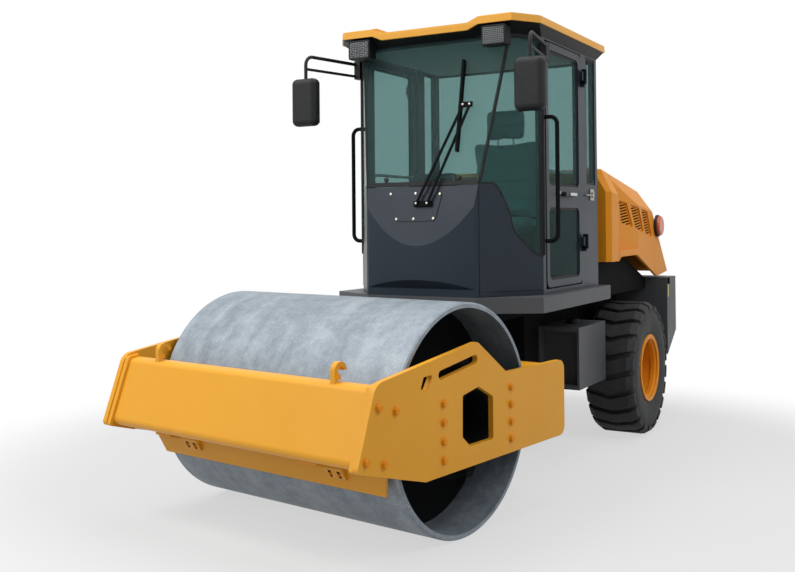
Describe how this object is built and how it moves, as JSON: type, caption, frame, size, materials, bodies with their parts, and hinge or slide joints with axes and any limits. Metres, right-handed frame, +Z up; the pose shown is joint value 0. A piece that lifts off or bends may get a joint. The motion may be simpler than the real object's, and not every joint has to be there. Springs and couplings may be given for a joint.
{
  "type": "road roller",
  "caption": "Single-drum soil compactor with smooth steel drum in an articulated front frame, enclosed cab, sloping engine hood and treaded rear tyres.",
  "frame": {"origin": "centre of the bounding box's underside, on the ground", "axes": "+X forward, +Y to the machine's left, +Z up; the front frame rests steered 8.56 degrees to the right"},
  "size_m": [4.8941, 2.092, 2.862],
  "materials": {
    "yellow_paint": "gloss paint",
    "worn_steel": "worn bare steel",
    "steel": "polished",
    "black_paint": "satin",
    "grey_paint": "satin",
    "graphite_paint": "satin",
    "engine_iron": "rough",
    "black_plastic": "matte",
    "lamp": "clear lens",
    "amber_lens": "lens",
    "tinted_glass": "tinted",
    "seat_cover": "vinyl",
    "tyre_rubber": "matte"
  },
  "bodies": {
    "rear": {"rear_frame": "black_paint", "articulation_pins": "steel", "rear_axle": "black_paint", "platform": "grey_paint", "fuel_tank": "grey_paint", "hydraulic_tank": "grey_paint", "rear_ballast": "grey_paint", "lashing_eyes": "black_paint", "engine_block": "engine_iron", "cab_frame": "graphite_paint", "cab_front_panel": "graphite_paint", "windscreen": "tinted_glass", "cab_corner_panels": "graphite_paint", "cab_glass": "tinted_glass", "roof_cap": "yellow_paint", "roof_liner": "black_plastic", "work_lamps": "lamp", "mirrors": "black_plastic", "grab_handles": "black_paint", "wiper": "black_paint", "seat_base": "black_plastic", "seat_cushion": "seat_cover", "seat_backrest": "seat_cover", "steering_column": "black_plastic", "engine_cowl": "yellow_paint"},
    "front_frame": {"side_plate_left": "yellow_paint", "side_plate_right": "yellow_paint", "front_beam": "yellow_paint", "scraper": "yellow_paint", "rear_crossbeam": "yellow_paint", "drum_carriers": "black_paint"},
    "drum": {"drum_shell": "worn_steel", "drum_heads": "black_paint", "exciter_housing": "black_paint"},
    "hitch": {"articulation_block": "black_paint"},
    "wheel_left": {"wheel_rim_left": "yellow_paint", "wheel_tyre_left": "tyre_rubber"},
    "wheel_right": {"wheel_rim_right": "yellow_paint", "wheel_tyre_right": "tyre_rubber"},
    "door_left": {"door_left": "graphite_paint", "door_glass_left": "tinted_glass"},
    "door_right": {"door_right": "graphite_paint", "door_glass_right": "tinted_glass"},
    "hood": {"hood": "yellow_paint", "hood_grilles": "yellow_paint", "tail_lamps": "amber_lens"},
    "steering_barrel_left": {"steering_barrel_left": "black_paint"},
    "steering_rod_left": {"steering_rod_left": "steel"},
    "steering_barrel_right": {"steering_barrel_right": "black_paint"},
    "steering_rod_right": {"steering_rod_right": "steel"}
  },
  "joints": [
    {"name": "articulation", "type": "hinge", "parent": "rear", "child": "hitch", "pos_m": [0.1889, 0.18309, 0.6], "axis": [0, 0, 1], "range_deg": [-24.44, 41.56]},
    {"name": "oscillation", "type": "hinge", "parent": "hitch", "child": "front_frame", "pos_m": [0.1889, 0.18309, 0.6], "axis": [0.9889, -0.1488, 0], "range_deg": [-10, 10]},
    {"name": "drum_roll", "type": "hinge", "parent": "front_frame", "child": "drum", "pos_m": [1.38047, 0.00373, 0.6], "axis": [0.1488, 0.9889, 0], "continuous": true},
    {"name": "wheel_left_roll", "type": "hinge", "parent": "rear", "child": "wheel_left", "pos_m": [-1.41111, 0.80509, 0.498], "axis": [0, 1, 0], "continuous": true},
    {"name": "wheel_right_roll", "type": "hinge", "parent": "rear", "child": "wheel_right", "pos_m": [-1.41111, -0.43891, 0.498], "axis": [0, 1, 0], "continuous": true},
    {"name": "door_left_swing", "type": "hinge", "parent": "rear", "child": "door_left", "pos_m": [-0.3241, 0.85509, 2], "axis": [0, 0, 1], "range_deg": [0, 170]},
    {"name": "door_right_swing", "type": "hinge", "parent": "rear", "child": "door_right", "pos_m": [-0.3241, -0.48891, 2], "axis": [0, 0, -1], "range_deg": [0, 170]},
    {"name": "hood_tilt", "type": "hinge", "parent": "rear", "child": "hood", "pos_m": [-1.0451, 0.18309, 1.99776], "axis": [0, 1, 0], "range_deg": [0, 48]},
    {"name": "steering_barrel_left_swing", "type": "hinge", "parent": "rear", "child": "steering_barrel_left", "pos_m": [-0.37111, 0.40809, 0.61], "axis": [0, 0, 1], "range_deg": [-3.4, 5.78]},
    {"name": "steering_rod_left_slide", "type": "slide", "parent": "steering_barrel_left", "child": "steering_rod_left", "axis": [0.9997, -0.026, 0], "range_m": [-0.1574, 0.09256]},
    {"name": "steering_barrel_right_swing", "type": "hinge", "parent": "rear", "child": "steering_barrel_right", "pos_m": [-0.37111, -0.04191, 0.61], "axis": [0, 0, 1], "range_deg": [-3.4, 5.78]},
    {"name": "steering_rod_right_slide", "type": "slide", "parent": "steering_barrel_right", "child": "steering_rod_right", "axis": [0.9998, -0.0208, 0], "range_m": [-0.09256, 0.1574]}
  ],
  "couplings": [
    {"joint": "steering_barrel_left_swing", "follows": "articulation", "ratio": 0.139},
    {"joint": "steering_rod_left_slide", "follows": "articulation", "m_per_rad": -0.217},
    {"joint": "steering_barrel_right_swing", "follows": "articulation", "ratio": 0.139},
    {"joint": "steering_rod_right_slide", "follows": "articulation", "m_per_rad": 0.217}
  ]
}
